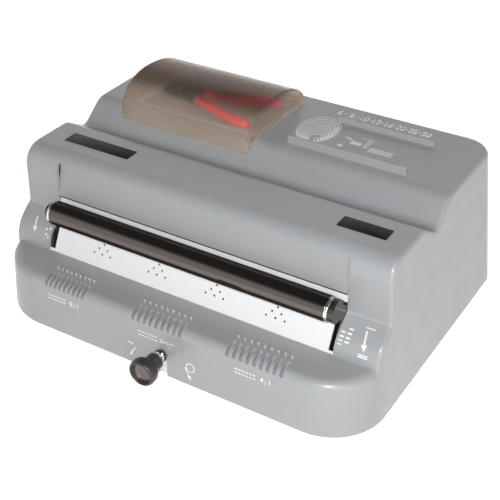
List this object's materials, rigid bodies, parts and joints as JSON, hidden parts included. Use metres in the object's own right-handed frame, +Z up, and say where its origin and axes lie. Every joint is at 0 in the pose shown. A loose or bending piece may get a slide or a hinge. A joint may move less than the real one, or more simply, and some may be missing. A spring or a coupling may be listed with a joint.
{
  "type": "coil binding machine",
  "caption": "Desk-top electric coil inserter: stepped grey cover, driven roller on swing arms before a white plate, height knob and hinged smoked lid over crimping pliers.",
  "frame": {"origin": "middle of the machine's footprint box, on the surface that it stands on", "axes": "+X to the operator's right along the roller, +Y from the operator to the back, +Z up"},
  "size_m": [0.385, 0.3328, 0.1775],
  "materials": {
    "cover_plastic": "satin moulded grey plastic with a faint blue tone",
    "panel_plastic": "satin moulded grey plastic",
    "white_paint": "smooth white powder paint on sheet steel",
    "dark_sheet": "dark grey powder paint on sheet steel",
    "foot_rubber": "plain black rubber",
    "plated_steel": "bright zinc-plated steel",
    "bush_bronze": "plain bearing bronze",
    "black_steel": "black painted steel",
    "roller_aluminium": "turned aluminium",
    "roller_rubber": "polished dark brown-black roller covering",
    "bright_chrome": "bright chrome plate",
    "black_plastic": "moulded black plastic",
    "belt_rubber": "flat black belt",
    "motor_paint": "black painted motor can",
    "gearbox_aluminium": "cast aluminium gearbox",
    "knob_plastic": "satin charcoal plastic",
    "smoked_plastic": "smoky brown translucent plastic, lightly frosted",
    "tool_steel": "dark tool steel",
    "red_grip": "dipped glossy red plastic",
    "board_green": "coated circuit board",
    "board_plastic": "moulded component cases",
    "transformer_steel": "lacquered laminated core with its bobbin",
    "label_black": "plain glossy black plate"
  },
  "bodies": {
    "base": {"cover_shell": "cover_plastic", "front_panel": "panel_plastic", "coil_plate": "white_paint", "base_plate": "dark_sheet", "foot_front_left": "foot_rubber", "foot_front_right": "foot_rubber", "foot_rear_left": "foot_rubber", "foot_rear_right": "foot_rubber", "cover_screws": "plated_steel", "side_plate_left": "plated_steel", "side_plate_right": "plated_steel", "shaft_bushes": "bush_bronze", "motor_belt": "belt_rubber", "motor_body": "motor_paint", "gearbox": "gearbox_aluminium", "motor_bracket": "plated_steel", "spindle_front_bracket": "white_paint", "spindle_bush": "bush_bronze", "spindle_rear_bracket": "white_paint", "lid_hinge_pin": "plated_steel", "tool_tray": "panel_plastic", "plier_half_front": "tool_steel", "plier_grip_front": "red_grip", "plier_rivet": "plated_steel", "rear_panel": "dark_sheet", "power_inlet": "black_plastic", "switch_frame": "black_plastic", "pedal_jack": "black_plastic", "circuit_board": "board_green", "board_parts": "board_plastic", "transformer": "transformer_steel", "label_left": "label_black", "label_right": "label_black"},
    "swing": {"arm_left": "black_steel", "arm_right": "black_steel", "arm_bushes": "bush_bronze", "roller_bushes": "bush_bronze", "cross_tie": "plated_steel", "swing_lever": "plated_steel", "arm_belt": "belt_rubber"},
    "roller": {"roller_core": "roller_aluminium", "roller_sleeve": "roller_rubber", "roller_ring_left": "bright_chrome", "roller_ring_right": "bright_chrome", "roller_pulley": "black_plastic"},
    "drive_line": {"drive_shaft": "plated_steel", "lay_pulley": "black_plastic", "drive_pulley": "black_plastic"},
    "motor_out": {"motor_shaft": "plated_steel", "motor_pulley": "black_plastic"},
    "knob_set": {"knob": "knob_plastic", "spindle": "bright_chrome", "spindle_collar": "black_plastic"},
    "nut": {"spindle_nut": "bush_bronze"},
    "lid": {"tool_lid": "smoked_plastic"},
    "plier_rear": {"plier_half_rear": "tool_steel", "plier_grip_rear": "red_grip"},
    "rocker": {"switch_rocker": "black_plastic"}
  },
  "joints": [
    {"name": "roller_swing", "type": "hinge", "parent": "base", "child": "swing", "pos_m": [0, -0.01563, 0.04179], "axis": [1, 0, 0], "range_deg": [0, 18]},
    {"name": "roller_spin", "type": "hinge", "parent": "swing", "child": "roller", "pos_m": [0, -0.08844, 0.09469], "axis": [1, 0, 0], "continuous": true},
    {"name": "shaft_spin", "type": "hinge", "parent": "base", "child": "drive_line", "pos_m": [0, -0.01563, 0.04179], "axis": [1, 0, 0], "continuous": true},
    {"name": "motor_spin", "type": "hinge", "parent": "base", "child": "motor_out", "pos_m": [0, 0.05937, 0.05179], "axis": [1, 0, 0], "continuous": true},
    {"name": "knob_turn", "type": "hinge", "parent": "base", "child": "knob_set", "pos_m": [0.0064, -0.13543, 0.02489], "axis": [0, -1, 0], "range_deg": [0, 480]},
    {"name": "nut_slide", "type": "slide", "parent": "base", "child": "nut", "axis": [0, 1, 0], "range_m": [0, 0.0054]},
    {"name": "lid_open", "type": "hinge", "parent": "base", "child": "lid", "pos_m": [0, 0.12557, 0.1527], "axis": [-1, 0, 0], "range_deg": [0, 105]},
    {"name": "plier_close", "type": "hinge", "parent": "base", "child": "plier_rear", "pos_m": [-0.1192, 0.08257, 0.15005], "axis": [0, 0, -1], "range_deg": [0, 8]},
    {"name": "switch_rock", "type": "hinge", "parent": "base", "child": "rocker", "pos_m": [0.0975, 0.15043, 0.034], "axis": [1, 0, 0], "range_deg": [0, 16]}
  ],
  "couplings": [
    {"joint": "shaft_spin", "follows": "roller_spin", "ratio": 0.60199},
    {"joint": "motor_spin", "follows": "roller_spin", "ratio": 0.87438},
    {"joint": "knob_turn", "follows": "roller_swing", "ratio": 26.546},
    {"joint": "nut_slide", "follows": "roller_swing", "m_per_rad": 0.0169}
  ]
}
